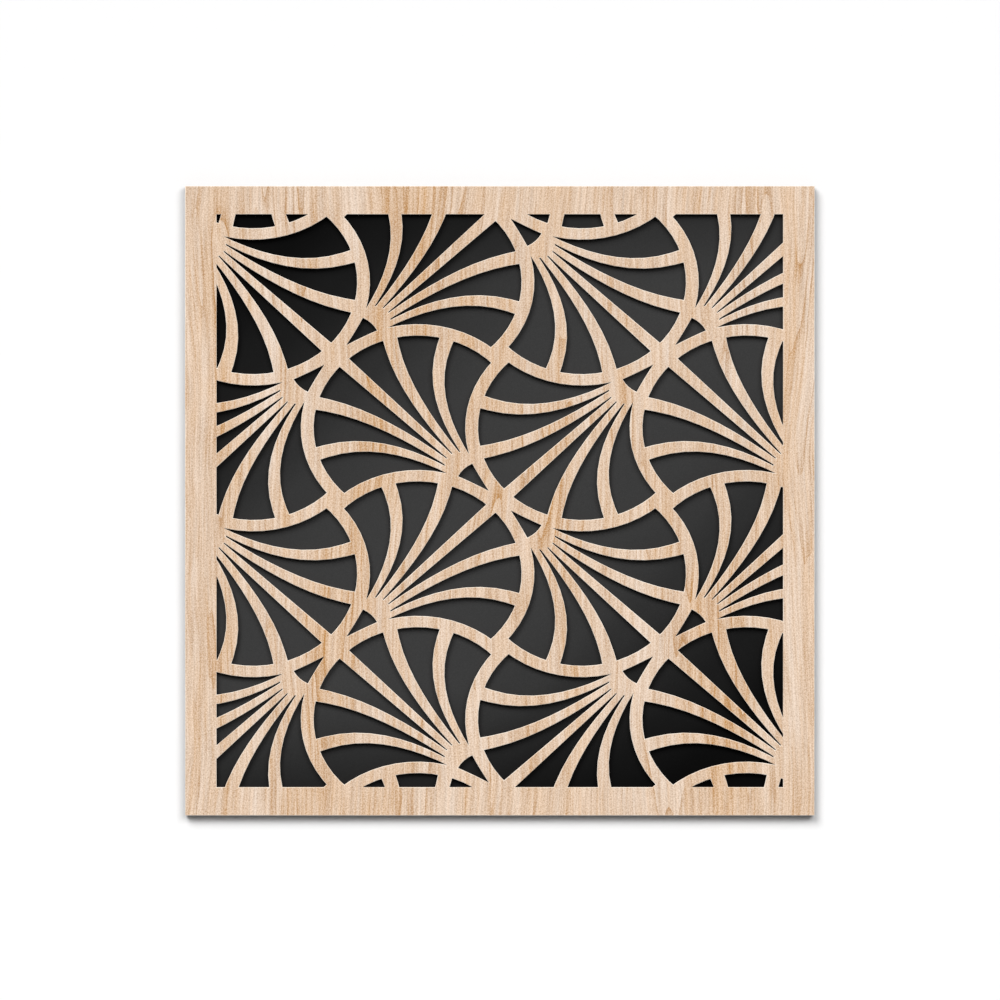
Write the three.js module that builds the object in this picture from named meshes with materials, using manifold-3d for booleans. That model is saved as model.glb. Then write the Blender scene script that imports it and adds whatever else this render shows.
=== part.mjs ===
// Laser-cut wall panel: a square sheet of pale wood, cut through to a lattice of fans inside a
// plain border, glued on a dark backing board of the same outline.
// Millimetres. The panel is drawn face up in its own plane, X to the right and Y up, and is then
// stood upright: the face looks along -Y, +Z is up, and the origin is at the middle of the back.
//
// The lattice is one fan, repeated. Around each quarter-turn point lie four fans, each turned a
// quarter from the last, and this group of four repeats on a square grid. The whole lattice is
// then stretched sideways, and the window cuts it off at the border.
// A fan is drawn with its hub point at the origin and its axis along +X.

import * as THREE from "three";
import { mergeVertices } from "three/addons/utils/BufferGeometryUtils.js";
import Module from "manifold-3d";

// Sheets
const PANEL_WIDTH = 600;
const PANEL_HEIGHT = 600;
const FRET_THICKNESS = 6;
const BACKING_THICKNESS = 3;
const GLUE_LINE = 0.3;

// Border around the window
const SIDE_BORDER = 30;
const END_BORDER = 27;

// Spacing of the pattern across and up the panel
const REPEAT_WIDTH = 313.4;
const REPEAT_HEIGHT = 278;

// Band around the front of each fan
const BAND_WIDTH = 10.9;
const BAND_LAP = 0.5; // how far each band runs over the line where it meets the next

// Ribs, which spread from the hub and widen towards the band. Each sets out from its root place
// beside the axis, straight away from the ribs' focus, and bends round to its angle on the band.
// The pulls are how far it keeps each direction, in shares of the fan's radius.
const ROOT_REACH = 47.7; // from the hub point to the roots of the ribs
const FOCUS_REACH = 7; // from the hub point to the focus
const RIB_ROOT_WIDTH = 4.8;
const RIB_RIM_WIDTH = 12.7;
const AXIS_RIB_RIM_WIDTH = 11.4;
const RIM_PULL = 0.131;
const INNER_RIB = { rootPlace: 4.65, rimDegrees: 29.8, rootPull: 0.952 };
const OUTER_RIB = { rootPlace: 9.85, rimDegrees: 61.4, rootPull: 0.801 };

// Hub, a web from the hub point to the roots of the ribs, with a round front between the slots
const WEB_RADIUS = 13.3; // of that front, about the middle of the roots

// Eyelet, the small pointed opening through the hub and the edges of the neighbours' bands
const EYELET_TIP_REACH = 13.1; // from the hub point to its tip
const EYELET_END_REACH = 42.75; // from the hub point to the middle of its bowed end
const EYELET_END_WIDTH = 16.9;
const EYELET_END_BOW = 1.35; // rise of the end above its corners
const EYELET_SIDE_BOW = 0.35; // how far each side bends in at its middle

// Facets
const BAND_STEPS = 30;
const RIB_STEPS = 10;
const HUB_STEPS = 6;
const EYELET_STEPS = 4;

const WOOD_COLOR = 0xe1c7ae;
const BACKING_COLOR = 0x333333;

const QUARTER_TURN = Math.PI / 2;

// The fans' circles: each touches the next ones at the hub points and at the quarter-turn points.
const FAN_RADIUS = REPEAT_HEIGHT / Math.SQRT2 / 2;
const STRETCH = REPEAT_WIDTH / REPEAT_HEIGHT;
const WINDOW_WIDTH = PANEL_WIDTH - 2 * SIDE_BORDER;
const WINDOW_HEIGHT = PANEL_HEIGHT - 2 * END_BORDER;
// Cutting bodies stand proud of the sheet by its own thickness on both sides.
const CUT_DEPTH = 3 * FRET_THICKNESS;
// Corners nearer to each other than this are one corner.
const CORNER_TOLERANCE = 1e-4;

const manifold = await Module();
manifold.setup();

// A geometry as a solid, with its shared corners joined.
function solidOf(geometry) {
  const bare = geometry.clone();
  bare.deleteAttribute("normal");
  bare.deleteAttribute("uv");
  const merged = mergeVertices(bare, CORNER_TOLERANCE);
  return new manifold.Manifold(
    new manifold.Mesh({
      numProp: 3,
      vertProperties: new Float32Array(merged.attributes.position.array),
      triVerts: new Uint32Array(merged.index.array),
    }),
  );
}

// A solid as a geometry, with flat faces.
function geometryOf(solid) {
  const { vertProperties, triVerts } = solid.getMesh();
  const indexed = new THREE.BufferGeometry();
  indexed.setAttribute(
    "position",
    new THREE.BufferAttribute(vertProperties, 3),
  );
  indexed.setIndex(new THREE.BufferAttribute(triVerts, 1));
  const flat = indexed.toNonIndexed();
  flat.computeVertexNormals();
  return flat;
}

function joined(solids) {
  return solids.reduce((whole, next) => whole.add(next));
}

// A closed outline pulled up to a prism that cuts right through the sheet.
function prism(outline) {
  const geometry = new THREE.ExtrudeGeometry(new THREE.Shape(outline), {
    depth: CUT_DEPTH,
    bevelEnabled: false,
  });
  geometry.translate(0, 0, (FRET_THICKNESS - CUT_DEPTH) / 2);
  return geometry;
}

// A point on a circle about the fan's own centre.
function onCircle(radius, angle) {
  return new THREE.Vector2(
    FAN_RADIUS + radius * Math.cos(angle),
    radius * Math.sin(angle),
  );
}

// The front band is half a ring about the fan's own centre. Both ends run on a little, so that
// they end inside the neighbours' bands.
function band() {
  const endAngle = QUARTER_TURN + BAND_WIDTH / 2 / FAN_RADIUS;
  const outerRadius = FAN_RADIUS + BAND_LAP;
  const outer = [];
  const inner = [];
  for (let i = 0; i <= BAND_STEPS; i++) {
    const angle = THREE.MathUtils.lerp(-endAngle, endAngle, i / BAND_STEPS);
    outer.push(onCircle(outerRadius, angle));
    inner.push(onCircle(outerRadius - BAND_WIDTH, angle));
  }
  return prism([...outer, ...inner.reverse()]);
}

// Half the space between the neighbours' bands, at a distance from the hub point.
function cuspHalfWidth(reach) {
  return reach ** 2 / (2 * FAN_RADIUS);
}

// The web of the hub closes the space behind the ribs, and reaches sideways into the bands.
function hub() {
  const rootHalfWidth = cuspHalfWidth(ROOT_REACH) + BAND_WIDTH / 2;
  const outline = [
    new THREE.Vector2(0, BAND_WIDTH / 2),
    new THREE.Vector2(0, -BAND_WIDTH / 2),
    new THREE.Vector2(ROOT_REACH, -rootHalfWidth),
  ];
  for (let i = 0; i <= HUB_STEPS; i++) {
    const angle = QUARTER_TURN * ((2 * i) / HUB_STEPS - 1);
    const x = ROOT_REACH + WEB_RADIUS * Math.cos(angle);
    outline.push(new THREE.Vector2(x, WEB_RADIUS * Math.sin(angle)));
  }
  outline.push(new THREE.Vector2(ROOT_REACH, rootHalfWidth));
  return prism(outline);
}

// The eyelet's two long sides meet at its tip, and its end bows out between their other ends.
function eyelet() {
  const cornerReach = EYELET_END_REACH - EYELET_END_BOW;
  const corner = new THREE.Vector2(cornerReach, EYELET_END_WIDTH / 2);
  const sideMiddle = (EYELET_TIP_REACH + cornerReach) / 2;
  const sidePull = corner.y / 2 - 2 * EYELET_SIDE_BOW;
  const endPull = EYELET_END_REACH + EYELET_END_BOW;
  const outline = new THREE.Shape();
  outline.moveTo(EYELET_TIP_REACH, 0);
  outline.quadraticCurveTo(sideMiddle, -sidePull, corner.x, -corner.y);
  outline.quadraticCurveTo(endPull, 0, corner.x, corner.y);
  outline.quadraticCurveTo(sideMiddle, sidePull, EYELET_TIP_REACH, 0);
  return prism(outline.getPoints(EYELET_STEPS).slice(1));
}

// A strip along a curve, from the root width to the rim width.
function rib(middle, rimWidth) {
  const left = [];
  const right = [];
  for (let i = 0; i <= RIB_STEPS; i++) {
    const u = i / RIB_STEPS;
    const halfWidth = THREE.MathUtils.lerp(RIB_ROOT_WIDTH, rimWidth, u) / 2;
    const along = middle.getTangentAt(u);
    const across = new THREE.Vector2(-along.y, along.x);
    const point = middle.getPointAt(u);
    left.push(point.clone().addScaledVector(across, halfWidth));
    right.push(point.clone().addScaledVector(across, -halfWidth));
  }
  return prism([...right, ...left.reverse()]);
}

function axisRib() {
  const root = new THREE.Vector2(ROOT_REACH, 0);
  const rim = onCircle(FAN_RADIUS - BAND_WIDTH / 2, 0);
  return rib(new THREE.LineCurve(root, rim), AXIS_RIB_RIM_WIDTH);
}

function sideRib({ rootPlace, rimDegrees, rootPull }, side) {
  const root = new THREE.Vector2(ROOT_REACH, side * rootPlace);
  const ray = new THREE.Vector2(ROOT_REACH - FOCUS_REACH, side * rootPlace);
  const rimAngle = side * THREE.MathUtils.degToRad(rimDegrees);
  const rimRadius = FAN_RADIUS - BAND_WIDTH / 2;
  const middle = new THREE.CubicBezierCurve(
    root,
    root.clone().add(ray.setLength(rootPull * FAN_RADIUS)),
    onCircle(rimRadius - RIM_PULL * FAN_RADIUS, rimAngle),
    onCircle(rimRadius, rimAngle),
  );
  return rib(middle, RIB_RIM_WIDTH);
}

function fan() {
  const sideRibs = [-1, 1].flatMap((side) => [
    sideRib(INNER_RIB, side),
    sideRib(OUTER_RIB, side),
  ]);
  return joined([band(), hub(), axisRib(), ...sideRibs].map(solidOf));
}

// Whether a fan in its place reaches into the window, by the box around its circle.
function reachesWindow(place) {
  const center = new THREE.Vector3(FAN_RADIUS, 0, 0).applyMatrix4(place);
  return (
    Math.abs(center.x) < WINDOW_WIDTH / 2 + FAN_RADIUS * STRETCH &&
    Math.abs(center.y) < WINDOW_HEIGHT / 2 + FAN_RADIUS
  );
}

// Where each fan lies: its hub point and axis, its quarter turn about the point that its group of
// four shares, that group's place on the grid, and the stretch of the whole lattice.
function fanPlaces() {
  const half = REPEAT_HEIGHT / 2;
  const firstFan = new THREE.Matrix4()
    .makeTranslation(half, half, 0)
    .multiply(new THREE.Matrix4().makeRotationZ((-3 * Math.PI) / 4));
  const toSharedPoint = new THREE.Matrix4().makeTranslation(-half, 0, 0);
  const stretch = new THREE.Matrix4().makeScale(STRETCH, 1, 1);
  const columns = Math.ceil(WINDOW_WIDTH / 2 / REPEAT_WIDTH) + 1;
  const rows = Math.ceil(WINDOW_HEIGHT / 2 / REPEAT_HEIGHT) + 1;
  const places = [];
  for (let column = -columns; column <= columns; column++) {
    for (let row = -rows; row <= rows; row++) {
      const sharedX = column * REPEAT_HEIGHT + half;
      const sharedY = row * REPEAT_HEIGHT;
      for (let quarter = 0; quarter < 4; quarter++) {
        const place = stretch
          .clone()
          .multiply(new THREE.Matrix4().makeTranslation(sharedX, sharedY, 0))
          .multiply(
            new THREE.Matrix4().makeRotationZ(quarter * QUARTER_TURN),
          )
          .multiply(toSharedPoint)
          .multiply(firstFan);
        places.push(place);
      }
    }
  }
  return places.filter(reachesWindow);
}

function rectangle(width, height) {
  return [
    new THREE.Vector2(-width / 2, -height / 2),
    new THREE.Vector2(width / 2, -height / 2),
    new THREE.Vector2(width / 2, height / 2),
    new THREE.Vector2(-width / 2, height / 2),
  ];
}

// A sheet of the panel's outline, from its back at zero to its face.
function sheet(thickness) {
  return new THREE.BoxGeometry(
    PANEL_WIDTH,
    PANEL_HEIGHT,
    thickness,
  ).translate(0, 0, thickness / 2);
}

// One shape in the place of every fan, all joined.
function repeated(geometry) {
  return joined(
    fanPlaces().map((place) => solidOf(geometry.clone().applyMatrix4(place))),
  );
}

// The openings are what the lattice leaves free in the window, and the laser takes them out.
function fretPanel() {
  const window = solidOf(prism(rectangle(WINDOW_WIDTH, WINDOW_HEIGHT)));
  const fans = repeated(geometryOf(fan()));
  const lattice = fans.subtract(repeated(eyelet()));
  const openings = window.subtract(lattice);
  return geometryOf(solidOf(sheet(FRET_THICKNESS)).subtract(openings));
}

function piece(name, geometry, material) {
  const mesh = new THREE.Mesh(geometry, material);
  mesh.name = name;
  return mesh;
}

const wood = new THREE.MeshStandardMaterial({
  color: WOOD_COLOR,
  roughness: 0.6,
  metalness: 0,
});
const darkBoard = new THREE.MeshStandardMaterial({
  color: BACKING_COLOR,
  roughness: 0.7,
  metalness: 0,
});

const backing = piece("backing_panel", sheet(BACKING_THICKNESS), darkBoard);
const fret = piece("fret_panel", fretPanel(), wood);
fret.position.z = BACKING_THICKNESS + GLUE_LINE;

const panel = new THREE.Group();
panel.add(backing, fret);
panel.rotation.x = QUARTER_TURN;

export default panel;
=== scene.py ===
"""Laser-cut wall panel: a pale wood fretwork sheet on a dark backing board, hung on a white wall."""

import math

import bmesh
import bpy
from bpy.props import FloatProperty, FloatVectorProperty, IntProperty, PointerProperty
from mathutils import Matrix, Vector


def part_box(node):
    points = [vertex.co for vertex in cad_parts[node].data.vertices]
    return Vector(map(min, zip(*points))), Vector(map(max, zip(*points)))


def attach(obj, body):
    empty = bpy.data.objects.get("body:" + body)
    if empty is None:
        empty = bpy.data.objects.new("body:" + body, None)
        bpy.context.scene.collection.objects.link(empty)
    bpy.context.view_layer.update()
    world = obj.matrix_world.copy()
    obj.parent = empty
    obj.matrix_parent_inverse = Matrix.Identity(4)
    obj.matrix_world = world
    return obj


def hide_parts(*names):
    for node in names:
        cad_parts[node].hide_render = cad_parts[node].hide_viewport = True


bl_info = {
    "name": "Laser-cut wall panel",
    "version": (1, 0, 0),
    "blender": (4, 5, 0),
    "location": "3D View > Sidebar > Wall panel",
    "description": "Dresses a laser-cut fretwork wall panel and hangs it on a studio wall",
    "category": "Object",
}

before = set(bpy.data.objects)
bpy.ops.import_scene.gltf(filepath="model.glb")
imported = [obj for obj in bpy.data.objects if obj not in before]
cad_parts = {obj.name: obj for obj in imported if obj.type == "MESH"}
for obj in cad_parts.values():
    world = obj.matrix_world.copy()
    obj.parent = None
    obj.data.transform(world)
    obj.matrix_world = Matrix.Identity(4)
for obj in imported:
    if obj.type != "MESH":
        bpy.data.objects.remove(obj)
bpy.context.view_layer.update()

FRET_LOW, FRET_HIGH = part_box("fret_panel")
BACKING_LOW, BACKING_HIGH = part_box("backing_panel")
FACE_Y = FRET_LOW.y
PANEL_WIDTH = FRET_HIGH.x - FRET_LOW.x
PANEL_HEIGHT = FRET_HIGH.z - FRET_LOW.z

# Material slots on the fret sheet
FACE_SLOT = 0
ARRIS_SLOT = 1
CUT_SLOT = 2

# Corners nearer than this are one corner, and faces flatter to each other than this are one face.
WELD = 1e-6
FLAT_ANGLE = math.radians(0.05)
# An edge that turns by more than this is shaded as a hard line, on the walls and on the arris.
CORNER_ANGLE = math.radians(28)
ARRIS_CORNER_ANGLE = math.radians(60)
# A face is flat across an axis when its normal has more than the first of these along the axis, and
# is a wall of a cut when its normal has less than the second along Y.
FLAT_LEAN = 0.999
WALL_LEAN = 0.05
# Where the arris runs on further than the first length at the end of a slot, it is drawn back to
# the second. Both are in widths of the arris.
TIP_LIMIT = 1.6
TIP_REACH = 1.2
BOARD_ARRIS_STEPS = 2


# Properties


def length(name, description, default, digits=5):
    return FloatProperty(
        name=name,
        description=description,
        default=default,
        min=0,
        precision=digits,
        unit="LENGTH",
        subtype="DISTANCE",
    )


def share(name, description, default):
    return FloatProperty(
        name=name,
        description=description,
        default=default,
        min=0,
        max=1,
        subtype="FACTOR",
    )


def colour(name, description, default):
    return FloatVectorProperty(
        name=name,
        description=description,
        default=default,
        min=0,
        max=1,
        size=3,
        subtype="COLOR",
    )


def strength(name, description, default):
    return FloatProperty(name=name, description=description, default=default, min=0)


def angle(name, description, degrees):
    return FloatProperty(
        name=name,
        description=description,
        default=math.radians(degrees),
        subtype="ANGLE",
    )


class FretSettings(bpy.types.PropertyGroup):
    arris: length("Arris", "Width of the sanded arris round the face and each opening", 0.0005)
    arris_steps: IntProperty(
        name="Arris steps",
        description="Facets across the sanded arris",
        default=2,
        min=1,
        max=6,
    )
    pale_wood: colour("Pale wood", "Wood between the grain lines", (0.867, 0.678, 0.528))
    mid_wood: colour("Middle tone", "Wood at its middle tone", (0.674, 0.492, 0.349))
    grain_line: colour("Grain line", "Darkest grain lines", (0.463, 0.272, 0.145))
    # Sanded wood is paler than the face, and is paled further into a painted highlight on every arris.
    sanded_wood_and_highlight: colour("Sanded wood", "Bare wood on the sanded arris", (0.95, 0.88, 0.78))
    toasted_wood: colour("Toasted wood", "Walls of the cuts, where the laser ran", (0.25, 0.14, 0.07))
    charred_wood: colour("Charred wood", "Darkest lines on the walls of the cuts", (0.07, 0.035, 0.018))
    grain_width: length("Grain width", "Width of the finest grain lines", 0.0014)
    grain_length: length("Grain length", "Length over which a grain line keeps its tone", 0.07, 3)
    wander: length("Wander", "How far the grain lines wander sideways", 0.012, 4)
    speckle: length("Speckle", "Width of the pores and flecks", 0.00105)


class BackingSettings(bpy.types.PropertyGroup):
    arris: length("Arris", "Width of the eased edges of the board", 0.0004)
    # The front's tone is painted light: a painted sheen along the rising diagonal, fading to the
    # board's own near-black in two corners, and painted shade towards the foot and the head.
    board_and_sheen_tone: share("Middle tone", "Lightness of the stain along the middle of the board", 0.042)
    corner_tone: share("Corner tone", "Lightness of the stain in the two dark corners", 0.0025)
    foot_shade_share: share("Foot share", "How much of its lightness the stain keeps at the foot", 0.17)
    head_shade_share: share("Head share", "How much of its lightness the stain keeps at the head", 0.43)
    fibre: length("Fibre", "Width of the fibres pressed into the board", 0.0009)


class StudioSettings(bpy.types.PropertyGroup):
    view_width: length("View width", "Width of the wall that the camera takes in", 0.9531, 4)
    camera_lens: FloatProperty(
        name="Lens",
        description="Focal length of the camera",
        default=400,
        min=10,
        unit="CAMERA",
    )
    camera_shift_x: FloatProperty(
        name="Camera sideways",
        description="How far the camera stands to the side of the panel's middle",
        default=0.0002,
        unit="LENGTH",
        subtype="DISTANCE",
    )
    camera_shift_z: FloatProperty(
        name="Camera height",
        description="How far the camera stands above the panel's middle",
        default=0.0007,
        unit="LENGTH",
        subtype="DISTANCE",
    )
    key_strength: strength("Key strength", "The two large soft lights above the camera", 3.97)
    key_width: angle("Key width", "Angle that each soft light fills, seen from the panel", 34)
    left_height: angle("Left height", "Height of the left light above the camera's line", 36)
    right_height: angle("Right height", "Height of the right light above the camera's line", 24)
    key_spread: angle("Key spread", "How far the soft lights stand to the left and the right", 24)
    key_balance: share("Key balance", "Share of their light that comes from the left", 0.62)
    back_strength: strength("Back strength", "The light behind the panel", 2.4)
    room_strength: strength("Room strength", "Light from the white room all round", 0.03)


# Meshes


def new_piece(name, bm):
    """The bmesh as an object at the origin, with its place in its mesh."""
    mesh = bpy.data.meshes.new(name)
    bm.to_mesh(mesh)
    bm.free()
    piece = bpy.data.objects.new(name, mesh)
    bpy.context.scene.collection.objects.link(piece)
    return piece


def ease(bm, edges, width, steps):
    """Rounds the edges off over a width, with a number of facets."""
    bmesh.ops.bevel(
        bm,
        geom=edges,
        offset=width,
        offset_type="OFFSET",
        segments=steps,
        profile=0.5,
        affect="EDGES",
        clamp_overlap=False,
        material=-1,
        loop_slide=False,
        miter_outer="ARC",
        miter_inner="SHARP",
        spread=width,
    )


def crease(bm):
    """Smooth shading along each curve and each arris, and a hard line where they end."""
    for face in bm.faces:
        face.smooth = True
    for edge in bm.edges:
        slots = {face.material_index for face in edge.link_faces}
        if len(edge.link_faces) != 2 or len(slots) != 1:
            edge.smooth = False
        elif slots == {ARRIS_SLOT}:
            edge.smooth = edge.calc_face_angle(0) < ARRIS_CORNER_ANGLE
        else:
            edge.smooth = edge.calc_face_angle(0) < CORNER_ANGLE


def faces_front(face):
    return face.normal.y < -FLAT_LEAN


def faces_back(face):
    return face.normal.y > FLAT_LEAN


def is_wall(face):
    return abs(face.normal.y) < WALL_LEAN


def is_flat(face):
    return max(abs(part) for part in face.normal) > FLAT_LEAN


def refill(bm, chosen, outward):
    """One flat side of the sheet, filled again between its rims."""
    bmesh.ops.delete(bm, geom=[face for face in bm.faces if chosen(face)], context="FACES")
    rims = [edge for edge in bm.edges if len(edge.link_faces) == 1]
    bmesh.ops.triangle_fill(bm, edges=rims, normal=outward, use_beauty=True, use_dissolve=False)


def in_plane(step):
    """The part of a step that runs along the face."""
    return Vector((step.x, 0, step.z))


def blunt_tips(bm, width):
    """Draws the arris back where it runs on in a spike beyond the narrow end of a slot."""
    feet = [vert for vert in bm.verts if abs(vert.co.y - FACE_Y - width) < WELD]
    for foot in feet:
        # The corners from the foot of the arris up to the face, and the edges beside its foot.
        climb = [foot]
        runs = []
        for vert in climb:
            for edge in vert.link_edges:
                step = edge.other_vert(vert).co - vert.co
                if step.y < -WELD:
                    climb.append(edge.other_vert(vert))
                elif vert is foot and step.y < WELD:
                    runs.append(step)
        reach = in_plane(climb[-1].co - foot.co)
        is_slot_end = all(reach.dot(run) < 0 for run in runs)
        if is_slot_end and reach.length > TIP_LIMIT * width:
            for vert in climb[1:]:
                back = in_plane(vert.co - foot.co) * (1 - TIP_REACH * width / reach.length)
                vert.co -= back


def fret_mesh(settings):
    """The fret sheet with a sanded arris round its face and each opening."""
    bm = bmesh.new()
    bm.from_mesh(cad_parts["fret_panel"].data)
    bmesh.ops.remove_doubles(bm, verts=bm.verts, dist=WELD)
    bmesh.ops.dissolve_limit(
        bm,
        angle_limit=FLAT_ANGLE,
        use_dissolve_boundaries=False,
        verts=bm.verts,
        edges=bm.edges,
    )
    bm.normal_update()
    rims = []
    for edge in bm.edges:
        fronts = [face for face in edge.link_faces if faces_front(face)]
        if len(fronts) == 1:
            rims.append(edge)
    ease(bm, rims, settings.arris, settings.arris_steps)
    blunt_tips(bm, settings.arris)
    bm.normal_update()
    refill(bm, faces_front, Vector((0, -1, 0)))
    refill(bm, faces_back, Vector((0, 1, 0)))
    bm.normal_update()
    for face in bm.faces:
        if is_wall(face):
            face.material_index = CUT_SLOT
        elif abs(face.normal.y) < FLAT_LEAN:
            face.material_index = ARRIS_SLOT
        else:
            face.material_index = FACE_SLOT
    crease(bm)
    return bm


def backing_mesh(settings):
    """The backing board, a flat slab with eased edges."""
    bm = bmesh.new()
    size = BACKING_HIGH - BACKING_LOW
    bmesh.ops.create_cube(bm, size=1)
    bmesh.ops.scale(bm, vec=size, verts=bm.verts)
    bmesh.ops.translate(bm, vec=(BACKING_HIGH + BACKING_LOW) / 2, verts=bm.verts)
    ease(bm, list(bm.edges), settings.arris, BOARD_ARRIS_STEPS)
    for face in bm.faces:
        face.smooth = True
    for edge in bm.edges:
        edge.smooth = not any(is_flat(face) for face in edge.link_faces)
    return bm


# Shader nodes

# Noise lies about its middle, and nearly all of it between its low and its high.
NOISE_LOW = 0.2
NOISE_MIDDLE = 0.5
NOISE_HIGH = 0.8


def add_node(tree, kind, **settings):
    node = tree.nodes.new(kind)
    for name, value in settings.items():
        setattr(node, name, value)
    return node


def feed(tree, socket, value):
    """Links a socket to another one, or sets its value."""
    if isinstance(value, bpy.types.NodeSocket):
        tree.links.new(value, socket)
    elif value is not None:
        socket.default_value = value


def maths(tree, operation, first, second=None, third=None, clamp=False):
    node = add_node(tree, "ShaderNodeMath", operation=operation, use_clamp=clamp)
    feed(tree, node.inputs[0], first)
    feed(tree, node.inputs[1], second)
    feed(tree, node.inputs[2], third)
    return node.outputs[0]


def vector_maths(tree, operation, first, second):
    node = add_node(tree, "ShaderNodeVectorMath", operation=operation)
    feed(tree, node.inputs[0], first)
    feed(tree, node.inputs[1], second)
    return node.outputs[0]


def scaled(tree, vector, scale):
    """The vector with each of its parts multiplied by its own factor."""
    return vector_maths(tree, "MULTIPLY", vector, scale)


def moved(tree, vector, step):
    return vector_maths(tree, "ADD", vector, step)


def joined(tree, x, y, z):
    """A vector made of its three parts."""
    node = add_node(tree, "ShaderNodeCombineXYZ")
    for socket, value in zip(node.inputs, (x, y, z)):
        feed(tree, socket, value)
    return node.outputs[0]


def parted(tree, vector):
    """The three parts of a vector, as sockets X, Y and Z."""
    node = add_node(tree, "ShaderNodeSeparateXYZ")
    feed(tree, node.inputs[0], vector)
    return node.outputs


def noise(tree, vector, detail=0.0):
    """Soft noise with one spot to each unit of the vector."""
    node = add_node(tree, "ShaderNodeTexNoise", noise_dimensions="3D")
    feed(tree, node.inputs["Vector"], vector)
    node.inputs["Scale"].default_value = 1
    node.inputs["Detail"].default_value = detail
    return node.outputs["Fac"]


def levelled(tree, value):
    """Noise moved so that it varies about nothing."""
    return maths(tree, "SUBTRACT", value, NOISE_MIDDLE)


def spread(tree, value, low, high, to_low=0.0, to_high=1.0):
    """The value taken from one range to another, and kept inside it."""
    node = add_node(tree, "ShaderNodeMapRange")
    feed(tree, node.inputs["Value"], value)
    feed(tree, node.inputs["From Min"], low)
    feed(tree, node.inputs["From Max"], high)
    feed(tree, node.inputs["To Min"], to_low)
    feed(tree, node.inputs["To Max"], to_high)
    return node.outputs["Result"]


def ramp(tree, value, stops, interpolation="LINEAR"):
    """The colour between the stops, each a place from 0 to 1 and its colour."""
    node = add_node(tree, "ShaderNodeValToRGB")
    band = node.color_ramp
    band.interpolation = interpolation
    while len(band.elements) < len(stops):
        band.elements.new(1)
    for element, (place, shade) in zip(band.elements, stops):
        element.position = place
        element.color = (*shade, 1)
    feed(tree, node.inputs["Fac"], value)
    return node.outputs["Color"]


def greys(stops):
    """The stops of a ramp with one number for each colour, as greys."""
    return [(place, (tone, tone, tone)) for place, tone in stops]


def bump(tree, height, depth, strength):
    node = add_node(tree, "ShaderNodeBump")
    node.inputs["Strength"].default_value = strength
    node.inputs["Distance"].default_value = depth
    feed(tree, node.inputs["Height"], height)
    return node.outputs["Normal"]


def object_coordinates(tree):
    return add_node(tree, "ShaderNodeTexCoord").outputs["Object"]


def new_group(name, inputs, outputs):
    """An empty node group with named sockets, its input node and its output node."""
    tree = bpy.data.node_groups.new(name, "ShaderNodeTree")
    for socket, kind in inputs:
        tree.interface.new_socket(name=socket, in_out="INPUT", socket_type=kind)
    for socket, kind in outputs:
        tree.interface.new_socket(name=socket, in_out="OUTPUT", socket_type=kind)
    return tree, add_node(tree, "NodeGroupInput").outputs, add_node(tree, "NodeGroupOutput").inputs


def use_group(tree, group, **values):
    node = add_node(tree, "ShaderNodeGroup", node_tree=group)
    for name, value in values.items():
        feed(tree, node.inputs[name.replace("_", " ")], value)
    return node.outputs


def new_material(name):
    material = bpy.data.materials.new(name)
    material.use_nodes = True
    tree = material.node_tree
    return material, tree, tree.nodes["Principled BSDF"].inputs


# Materials

# Layers of the grain, from the finest lines to the widest. Each row has its width and its length in
# units of the finest line, and its share of the wood's tone or of its colour.
FINE_LAYERS = ((1.0, 0.6, 0.46),)
WIDE_LAYERS = (
    (2.4, 1.6, 0.14),
    (6.0, 2.4, 0.14),
    (18.0, 4.0, 0.16),
    (60.0, 6.0, 0.20),
)
HUE_LAYERS = (
    (1.5, 0.5, 0.23),
    (4.0, 1.6, 0.22),
    (14.0, 3.0, 0.20),
    (60.0, 5.0, 0.10),
)
STREAK_DEPTH = 4  # how much deeper than wide a streak is
# The hue reads the noise this far away from the tone, so that the two vary on their own.
HUE_OFFSET = Vector((0.7, 3.1, 0.4))

# Each of these is the number of spots of noise to a metre, along X, Y and Z.
DRIFT_SPOTS = (5, 5, 4.5)
WAVER_SPOTS = (90, 90, 45)
RING_PATCH_SPOTS = (28, 28, 5)
STROKE_SPOTS = (1900, 60, 1900)
SMOKE_SPOTS = (55, 20, 55)
CLOUD_SPOTS = (7, 7, 7)

# How far the lines of the grain go aside: in shares of the wander as they drift, and in metres as
# they waver.
DRIFT_REACH = 3
WAVER_REACH = 0.0016

# Growth rings: the width and the length of their wave, in units of the finest line, how many there
# are to a wave, and how sharply each one ends. They show in patches and are faintest between them.
RING_WIDTH = 20
RING_LENGTH = 6
RINGS = 9
RING_EDGE = 4
RING_PATCH_LOW = 0.35
RING_PATCH_HIGH = 0.65
FAINTEST_RING = 0.1

# Flecks are longer than wide and lean to one side.
FLECK_SHORTENING = 0.75
FLECK_LEAN = math.radians(24)

# The wood's mean tone between the growth rings, and how much each part of the grain changes it.
MEAN_TONE = 0.58
LINE_CONTRAST = 1.5
FLECK_CONTRAST = 1.3
RING_DARKNESS = 0.50
# How much the grain changes the wood's warmth. Dark bands and growth rings are warmer than the rest.
HUE_CONTRAST = 1.15
BAND_WARMTH = -1.0
RING_WARMTH = 0.14

# How much the laser's strokes, its smoke and the grain change the tone of a cut, and the tone that
# has the toasted colour.
STROKE_CONTRAST = 0.9
SMOKE_CONTRAST = 0.8
CUT_GRAIN_CONTRAST = 0.5
TOASTED_TONE = 0.55

# Roughness at the darkest and the palest part of each surface.
FACE_ROUGHNESS = (0.66, 0.54)
ARRIS_ROUGHNESS = (0.7, 0.6)
CUT_ROUGHNESS = (0.6, 0.85)
BOARD_ROUGHNESS = (0.58, 0.72)
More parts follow.
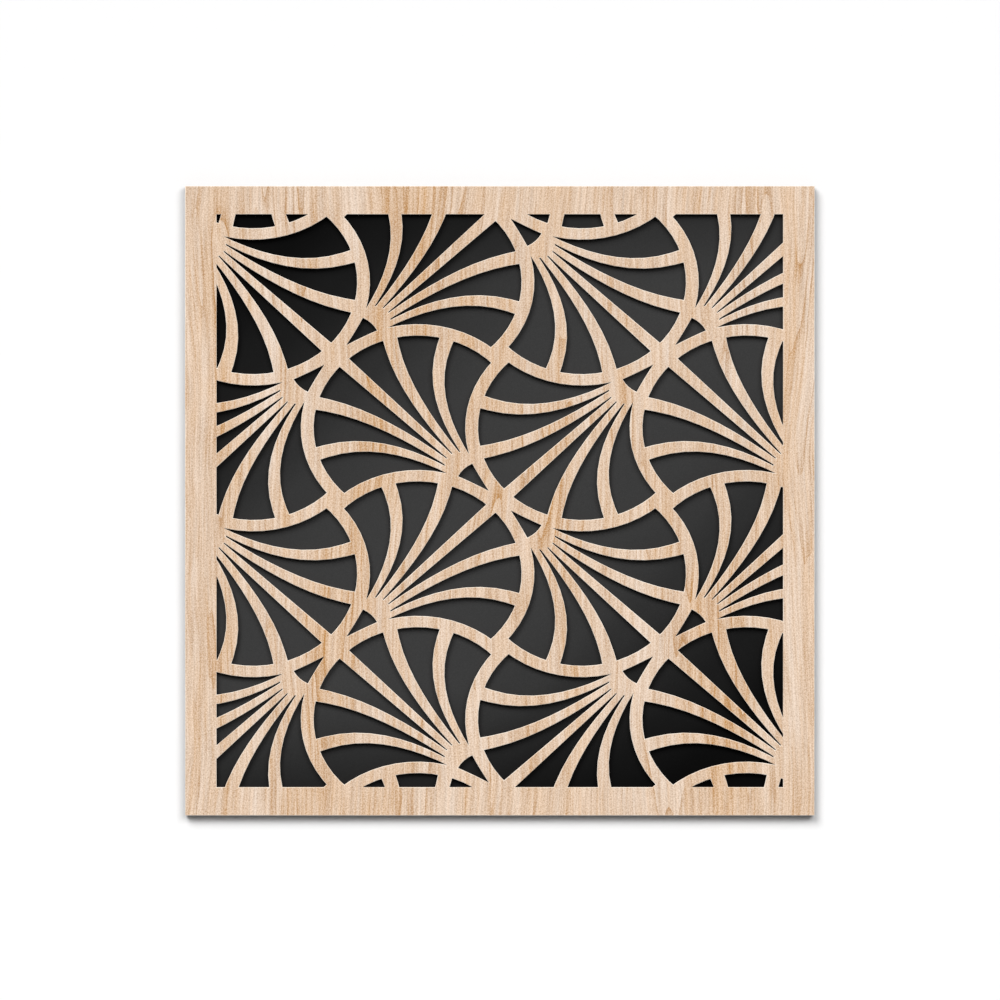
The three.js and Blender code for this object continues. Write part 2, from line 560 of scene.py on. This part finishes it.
# Relief of each surface: its depth in metres, and how much of it shows.
FACE_RELIEF = (0.00012, 0.5)
ARRIS_RELIEF = (0.0001, 0.5)
CUT_RELIEF = (0.0001, 0.7)
BOARD_RELIEF = (0.00005, 0.4)
# How strongly each surface mirrors the light.
WOOD_SHINE = 0.25
CUT_SHINE = 0.2
BOARD_SHINE = 0.04

# Plies of the fret sheet, from its face: where each ply ends, as a share of the thickness, and how
# pale the laser leaves it.
PLIES = ((0.0, 0.62), (0.26, 0.62), (0.30, 0.2), (0.68, 0.32), (0.72, 0.55), (1.0, 0.7))

# A painted sheen on the backing board: lightest along the rising diagonal, and fading to the board's
# own near-black in the two other corners. Each row has a distance from that diagonal and the share of
# the light.
PAINTED_SHEEN = (
    (0.0, 1.0),
    (0.09, 0.93),
    (0.14, 0.78),
    (0.175, 0.55),
    (0.21, 0.30),
    (0.26, 0.14),
    (0.315, 0.0),
)
SHEEN_REACH = PAINTED_SHEEN[-1][0]
# Painted shade darkens it again towards the foot of the board, and a little towards its head.
FOOT_SHADE_REACH = 0.12
HEAD_SHADE_REACH = 0.095
# How far a cloud moves the edge of the painted sheen to and fro, and how much darker and paler the
# fibres are.
CLOUD_REACH = 0.03
DARK_FIBRE = 0.86
PALE_FIBRE = 1.14


def streaks(tree, vector, across, along, width, reach, detail=0.0):
    """Noise drawn out along Z, of a width and a length in units of the finest grain line."""
    stretch = joined(
        tree,
        maths(tree, "DIVIDE", across, width),
        maths(tree, "DIVIDE", across, STREAK_DEPTH * width),
        maths(tree, "DIVIDE", along, reach),
    )
    return noise(tree, scaled(tree, vector, stretch), detail=detail)


def layered(tree, vector, across, along, layers):
    """The sum of several widths of streaks, each about nothing and with its own share."""
    total = 0.0
    for width, reach, part in layers:
        layer = levelled(tree, streaks(tree, vector, across, along, width, reach))
        total = maths(tree, "MULTIPLY_ADD", layer, part, total)
    return total


def grain_group():
    """Straight grain along Z: wandering lines of several widths, growth rings, flecks and hue."""
    tree, given, result = new_group(
        "Straight grain",
        (
            ("Vector", "NodeSocketVector"),
            ("Grain Width", "NodeSocketFloat"),
            ("Grain Length", "NodeSocketFloat"),
            ("Wander", "NodeSocketFloat"),
            ("Speckle", "NodeSocketFloat"),
        ),
        (
            ("Tone", "NodeSocketFloat"),
            ("Lines", "NodeSocketFloat"),
            ("Flecks", "NodeSocketFloat"),
            ("Warmth", "NodeSocketFloat"),
        ),
    )
    place = given["Vector"]
    # The lines drift slowly to the side, and waver a little on the way.
    drift = levelled(tree, noise(tree, scaled(tree, place, DRIFT_SPOTS), detail=1))
    waver = levelled(tree, noise(tree, scaled(tree, place, WAVER_SPOTS), detail=1))
    aside = maths(tree, "MULTIPLY", drift, maths(tree, "MULTIPLY", given["Wander"], DRIFT_REACH))
    aside = maths(tree, "MULTIPLY_ADD", waver, WAVER_REACH, aside)
    drifted = moved(tree, place, joined(tree, aside, 0, 0))
    across = maths(tree, "DIVIDE", 1, given["Grain Width"])
    along = maths(tree, "DIVIDE", 1, given["Grain Length"])
    # Growth rings are the steps of a slow wave: each darkens slowly and ends at once.
    wave = streaks(tree, drifted, across, along, RING_WIDTH, RING_LENGTH, detail=1)
    ring = maths(tree, "FRACT", maths(tree, "MULTIPLY", wave, RINGS))
    late_wood = maths(tree, "POWER", ring, RING_EDGE)
    patch = noise(tree, scaled(tree, drifted, RING_PATCH_SPOTS), detail=1)
    patch = spread(tree, patch, RING_PATCH_LOW, RING_PATCH_HIGH, FAINTEST_RING, 1)
    lines = maths(tree, "MULTIPLY", late_wood, patch)
    lean = add_node(tree, "ShaderNodeVectorRotate", rotation_type="Y_AXIS")
    feed(tree, lean.inputs["Vector"], drifted)
    lean.inputs["Angle"].default_value = FLECK_LEAN
    fine = maths(tree, "DIVIDE", 1, given["Speckle"])
    fleck_size = joined(tree, fine, fine, maths(tree, "MULTIPLY", fine, FLECK_SHORTENING))
    flecks = noise(tree, scaled(tree, lean.outputs[0], fleck_size), detail=0.5)
    fine_tone = layered(tree, drifted, across, along, FINE_LAYERS)
    wide_tone = layered(tree, drifted, across, along, WIDE_LAYERS)
    feed(tree, result["Tone"], maths(tree, "ADD", fine_tone, wide_tone))
    feed(tree, result["Lines"], lines)
    feed(tree, result["Flecks"], levelled(tree, flecks))
    elsewhere = moved(tree, drifted, HUE_OFFSET)
    warmth = layered(tree, elsewhere, across, along, HUE_LAYERS)
    warmth = maths(tree, "MULTIPLY_ADD", wide_tone, BAND_WARMTH, warmth)
    warmth = maths(tree, "MULTIPLY_ADD", lines, RING_WARMTH, warmth)
    feed(tree, result["Warmth"], warmth)
    return tree


def grain_of(tree, group, settings):
    return use_group(
        tree,
        group,
        Vector=object_coordinates(tree),
        Grain_Width=settings.grain_width,
        Grain_Length=settings.grain_length,
        Wander=settings.wander,
        Speckle=settings.speckle,
    )


def wood_tone(tree, grain):
    """One value for the wood's tone, 0 at the darkest line and 1 at the palest wood."""
    tone = maths(tree, "MULTIPLY_ADD", grain["Tone"], LINE_CONTRAST, MEAN_TONE)
    tone = maths(tree, "MULTIPLY_ADD", grain["Flecks"], FLECK_CONTRAST, tone)
    dark = maths(tree, "MULTIPLY", grain["Lines"], RING_DARKNESS)
    return maths(tree, "SUBTRACT", tone, dark, clamp=True)


def warmed(tree, shade, grain):
    """The colour made more or less orange, in streaks of its own."""
    node = add_node(tree, "ShaderNodeHueSaturation")
    saturation = maths(tree, "MULTIPLY_ADD", grain["Warmth"], HUE_CONTRAST, 1)
    feed(tree, node.inputs["Saturation"], saturation)
    feed(tree, node.inputs["Color"], shade)
    return node.outputs["Color"]


def face_material(settings, group):
    """Pale planed wood with a dull finish."""
    material, tree, shader = new_material("pale_wood")
    grain = grain_of(tree, group, settings)
    tone = wood_tone(tree, grain)
    stops = (
        (0.0, settings.grain_line),
        (0.5, settings.mid_wood),
        (1.0, settings.pale_wood),
    )
    feed(tree, shader["Base Color"], warmed(tree, ramp(tree, tone, stops), grain))
    feed(tree, shader["Roughness"], spread(tree, tone, 0, 1, *FACE_ROUGHNESS))
    feed(tree, shader["Normal"], bump(tree, tone, *FACE_RELIEF))
    shader["Specular IOR Level"].default_value = WOOD_SHINE
    return material


def arris_material(settings, group):
    """Fresh wood on the sanded arris, paler than the face, and paler still as a painted highlight along
    each edge.
    """
    material, tree, shader = new_material("sanded_arris_and_highlight")
    grain = grain_of(tree, group, settings)
    tone = wood_tone(tree, grain)
    # Bare sanded wood, lifted further into a painted highlight.
    shade = ramp(tree, tone, ((0.0, settings.pale_wood), (1.0, settings.sanded_wood_and_highlight)))
    feed(tree, shader["Base Color"], warmed(tree, shade, grain))
    feed(tree, shader["Roughness"], spread(tree, tone, 0, 1, *ARRIS_ROUGHNESS))
    feed(tree, shader["Normal"], bump(tree, tone, *ARRIS_RELIEF))
    shader["Specular IOR Level"].default_value = WOOD_SHINE
    return material


def cut_material(settings, group):
    """The toasted walls of the cuts, with the laser's fine lines through the sheet."""
    material, tree, shader = new_material("laser_cut_edge")
    place = object_coordinates(tree)
    grain = grain_of(tree, group, settings)
    depth = spread(tree, parted(tree, place)["Y"], FRET_LOW.y, FRET_HIGH.y)
    ply_tone = ramp(tree, depth, greys(PLIES))
    strokes = noise(tree, scaled(tree, place, STROKE_SPOTS), detail=1)
    smoke = noise(tree, scaled(tree, place, SMOKE_SPOTS), detail=2)
    tone = maths(tree, "MULTIPLY_ADD", levelled(tree, strokes), STROKE_CONTRAST, ply_tone)
    tone = maths(tree, "MULTIPLY_ADD", levelled(tree, smoke), SMOKE_CONTRAST, tone)
    tone = maths(tree, "MULTIPLY_ADD", grain["Tone"], CUT_GRAIN_CONTRAST, tone, clamp=True)
    stops = (
        (0.0, settings.charred_wood),
        (TOASTED_TONE, settings.toasted_wood),
        (1.0, settings.grain_line),
    )
    feed(tree, shader["Base Color"], ramp(tree, tone, stops))
    feed(tree, shader["Roughness"], spread(tree, strokes, NOISE_LOW, NOISE_HIGH, *CUT_ROUGHNESS))
    feed(tree, shader["Normal"], bump(tree, strokes, *CUT_RELIEF))
    shader["Specular IOR Level"].default_value = CUT_SHINE
    return material


def backing_material(settings):
    """Dark stained board, matt, with fine pressed fibres, a painted sheen along its rising diagonal and
    painted shade towards its foot and head.
    """
    material, tree, shader = new_material("dark_board")
    place = object_coordinates(tree)
    parts = parted(tree, place)
    # The painted sheen: lightest along the rising diagonal, with a cloud moving its edge.
    from_diagonal = maths(tree, "SUBTRACT", parts["X"], parts["Z"])
    from_diagonal = maths(tree, "ABSOLUTE", maths(tree, "MULTIPLY", from_diagonal, math.sqrt(0.5)))
    cloud = levelled(tree, noise(tree, scaled(tree, place, CLOUD_SPOTS), detail=2))
    from_diagonal = maths(tree, "MULTIPLY_ADD", cloud, CLOUD_REACH, from_diagonal)
    light = spread(tree, from_diagonal, 0, SHEEN_REACH)
    stops = greys((reach / SHEEN_REACH, tone) for reach, tone in PAINTED_SHEEN)
    light = ramp(tree, light, stops, "EASE")
    # Painted shade: darker towards the foot, and a little towards the head.
    foot, head = BACKING_LOW.z, BACKING_HIGH.z
    foot_shading = spread(tree, parts["Z"], foot, foot + FOOT_SHADE_REACH, settings.foot_shade_share, 1)
    head_shading = spread(tree, parts["Z"], head - HEAD_SHADE_REACH, head, 1, settings.head_shade_share)
    tone = spread(tree, light, 0, 1, settings.corner_tone, settings.board_and_sheen_tone)
    tone = maths(tree, "MULTIPLY", tone, maths(tree, "MULTIPLY", foot_shading, head_shading))
    # The back is plainer: one even tone, with no painted sheen or shade.
    on_back = maths(tree, "GREATER_THAN", parts["Y"], BACKING_HIGH.y - settings.arris)
    tone = spread(tree, on_back, 0, 1, tone, settings.board_and_sheen_tone)
    fibre_spots = 1 / settings.fibre
    fibres = noise(tree, scaled(tree, place, (fibre_spots, fibre_spots, fibre_spots)), detail=2)
    fibre_tone = spread(tree, fibres, NOISE_LOW, NOISE_HIGH, DARK_FIBRE, PALE_FIBRE)
    tone = maths(tree, "MULTIPLY", tone, fibre_tone)
    shade = add_node(tree, "ShaderNodeCombineColor")
    for part in ("Red", "Green", "Blue"):
        feed(tree, shade.inputs[part], tone)
    feed(tree, shader["Base Color"], shade.outputs["Color"])
    feed(tree, shader["Roughness"], spread(tree, fibres, NOISE_LOW, NOISE_HIGH, *BOARD_ROUGHNESS))
    feed(tree, shader["Normal"], bump(tree, fibres, *BOARD_RELIEF))
    shader["Specular IOR Level"].default_value = BOARD_SHINE
    return material


# Operators


class WALLPANEL_OT_add_fret(bpy.types.Operator):
    """Add the fretwork sheet, with its sanded arris and its toasted cuts"""

    bl_idname = "wall_panel.add_fret"
    bl_label = "Add fret sheet"

    def execute(self, context):
        settings = context.scene.fret_settings
        fret = new_piece("fret_sheet", fret_mesh(settings))
        group = grain_group()
        fret.data.materials.append(face_material(settings, group))
        fret.data.materials.append(arris_material(settings, group))
        fret.data.materials.append(cut_material(settings, group))
        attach(fret, "root")
        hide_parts("fret_panel")
        return {"FINISHED"}


class WALLPANEL_OT_add_backing(bpy.types.Operator):
    """Add the dark backing board behind the fretwork"""

    bl_idname = "wall_panel.add_backing"
    bl_label = "Add backing board"

    def execute(self, context):
        settings = context.scene.backing_settings
        backing = new_piece("backing_board", backing_mesh(settings))
        backing.data.materials.append(backing_material(settings))
        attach(backing, "root")
        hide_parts("backing_panel")
        return {"FINISHED"}


# Studio: a white wall behind the panel, a pale floor, soft lights and the camera

WALL_GAP = 0.003  # behind the panel's back
WALL_REACH = 3.0  # from the panel's middle, to each side
WALL_HOLE_INSET = 0.004  # how much smaller than the panel the wall's hole is, on each side
WALL_TONE = (0.92, 0.92, 0.92)
WALL_GLOW = 0.02
FLOOR_Z = -1.5
FLOOR_REACH = 3.0
FLOOR_TONE = (0.86, 0.86, 0.85)
FLOOR_THROWN_TONE = (0.2, 0.2, 0.2)  # of the light that the floor throws back up
FLOOR_ROUGHNESS = 0.8
WHITE = (1, 1, 1, 1)
BACK_LIGHT_WIDTH = math.radians(40)
BACK_LIGHT_PATH = (-0.4, -1, -0.5)
CAMERA_SIGHT = 50  # how far the camera sees


def wall_mesh():
    """A plane with a hole a little smaller than the panel, so that the panel's back is open."""
    bm = bmesh.new()
    bmesh.ops.create_grid(bm, x_segments=1, y_segments=1, size=WALL_REACH)
    middle = list(bm.faces)
    inset = WALL_REACH / 2
    bmesh.ops.inset_region(
        bm, faces=middle, thickness=inset, use_boundary=True, use_even_offset=True
    )
    hole = Vector((PANEL_WIDTH, PANEL_HEIGHT, 0)) / 2 - Vector((WALL_HOLE_INSET, WALL_HOLE_INSET, 0))
    bmesh.ops.scale(bm, vec=hole / (WALL_REACH - inset), verts=list(middle[0].verts))
    bmesh.ops.delete(bm, geom=middle, context="FACES_ONLY")
    bmesh.ops.rotate(bm, matrix=Matrix.Rotation(math.radians(90), 3, "X"), verts=bm.verts)
    bmesh.ops.translate(bm, vec=(0, WALL_GAP, 0), verts=bm.verts)
    return bm


def floor_mesh():
    bm = bmesh.new()
    bmesh.ops.create_grid(bm, x_segments=1, y_segments=1, size=FLOOR_REACH)
    bmesh.ops.translate(bm, vec=(0, 0, FLOOR_Z), verts=bm.verts)
    return bm


def clear_from_behind(tree):
    """Lets the eye and the light through the back of the surface, so that the studio hides nothing."""
    clear = add_node(tree, "ShaderNodeBsdfTransparent")
    side = add_node(tree, "ShaderNodeMixShader")
    feed(tree, side.inputs[0], add_node(tree, "ShaderNodeNewGeometry").outputs["Backfacing"])
    feed(tree, side.inputs[1], tree.nodes["Principled BSDF"].outputs[0])
    feed(tree, side.inputs[2], clear.outputs[0])
    feed(tree, tree.nodes["Material Output"].inputs["Surface"], side.outputs[0])


def wall_material():
    """White wall, seen and lit from the front only."""
    material, tree, shader = new_material("white_wall")
    shader["Base Color"].default_value = (*WALL_TONE, 1)
    shader["Roughness"].default_value = 1
    shader["Specular IOR Level"].default_value = 0
    shader["Emission Color"].default_value = WHITE
    shader["Emission Strength"].default_value = WALL_GLOW
    clear_from_behind(tree)
    return material


def floor_material():
    """Pale floor, seen and lit from above only."""
    material, tree, shader = new_material("pale_floor")
    # Pale to the camera, but it throws little light back up at the wall.
    seen = add_node(tree, "ShaderNodeLightPath").outputs["Is Camera Ray"]
    shade = ramp(tree, seen, ((0.0, FLOOR_THROWN_TONE), (1.0, FLOOR_TONE)))
    feed(tree, shader["Base Color"], shade)
    shader["Roughness"].default_value = FLOOR_ROUGHNESS
    clear_from_behind(tree)
    return material


def add_sun(name, strength, width, towards):
    """A sun that shines along the given direction."""
    light = bpy.data.lights.new(name, "SUN")
    light.energy = strength
    light.angle = width
    lamp = bpy.data.objects.new(name, light)
    lamp.rotation_euler = Vector(towards).to_track_quat("-Z", "Y").to_euler()
    bpy.context.scene.collection.objects.link(lamp)


def light_world(strength):
    """White surroundings for the camera, and a weaker light from them for all else."""
    world = bpy.data.worlds.new("studio")
    world.use_nodes = True
    tree = world.node_tree
    background = tree.nodes["Background"]
    background.inputs["Color"].default_value = WHITE
    seen = add_node(tree, "ShaderNodeLightPath").outputs["Is Camera Ray"]
    feed(tree, background.inputs["Strength"], spread(tree, seen, 0, 1, strength, 1))
    bpy.context.scene.world = world


class WALLPANEL_OT_add_studio(bpy.types.Operator):
    """Add the white wall, the pale floor, the soft lights and the camera"""

    bl_idname = "wall_panel.add_studio"
    bl_label = "Add studio"

    def execute(self, context):
        settings = context.scene.studio_settings
        wall = new_piece("studio_wall", wall_mesh())
        wall.data.materials.append(wall_material())
        floor = new_piece("studio_floor", floor_mesh())
        floor.data.materials.append(floor_material())
        aside = math.tan(settings.key_spread)
        left_fall = math.tan(settings.left_height)
        right_fall = math.tan(settings.right_height)
        left = settings.key_strength * settings.key_balance
        right = settings.key_strength - left
        add_sun("key_light_left", left, settings.key_width, (aside, 1, -left_fall))
        add_sun("key_light_right", right, settings.key_width, (-aside, 1, -right_fall))
        add_sun("back_light", settings.back_strength, BACK_LIGHT_WIDTH, BACK_LIGHT_PATH)
        light_world(settings.room_strength)
        lens = bpy.data.cameras.new("camera")
        lens.lens = settings.camera_lens
        lens.clip_end = CAMERA_SIGHT
        camera = bpy.data.objects.new("camera", lens)
        away = settings.view_width * lens.lens / lens.sensor_width
        camera.location = (settings.camera_shift_x, FACE_Y - away, settings.camera_shift_z)
        camera.rotation_euler = (math.radians(90), 0, 0)
        context.scene.collection.objects.link(camera)
        context.scene.camera = camera
        context.scene.view_settings.view_transform = "Standard"
        return {"FINISHED"}


class WALLPANEL_PT_sidebar(bpy.types.Panel):
    """Sizes, colours and pieces of the wall panel"""

    bl_idname = "WALLPANEL_PT_sidebar"
    bl_label = "Wall panel"
    bl_space_type = "VIEW_3D"
    bl_region_type = "UI"
    bl_category = "Wall panel"

    def draw(self, context):
        for operator, group in STEPS:
            box = self.layout.box()
            box.operator(operator.bl_idname)
            settings = getattr(context.scene, group)
            for name in settings.__annotations__:
                box.prop(settings, name)


STEPS = (
    (WALLPANEL_OT_add_fret, "fret_settings"),
    (WALLPANEL_OT_add_backing, "backing_settings"),
    (WALLPANEL_OT_add_studio, "studio_settings"),
)
GROUPS = {
    "fret_settings": FretSettings,
    "backing_settings": BackingSettings,
    "studio_settings": StudioSettings,
}
CLASSES = (*GROUPS.values(), *(operator for operator, _ in STEPS), WALLPANEL_PT_sidebar)


def register():
    for item in CLASSES:
        bpy.utils.register_class(item)
    for name, group in GROUPS.items():
        setattr(bpy.types.Scene, name, PointerProperty(type=group))


def unregister():
    for name in GROUPS:
        delattr(bpy.types.Scene, name)
    for item in reversed(CLASSES):
        bpy.utils.unregister_class(item)


def main():
    register()
    bpy.ops.wall_panel.add_fret()
    bpy.ops.wall_panel.add_backing()
    bpy.ops.wall_panel.add_studio()


if __name__ == "__main__":
    main()
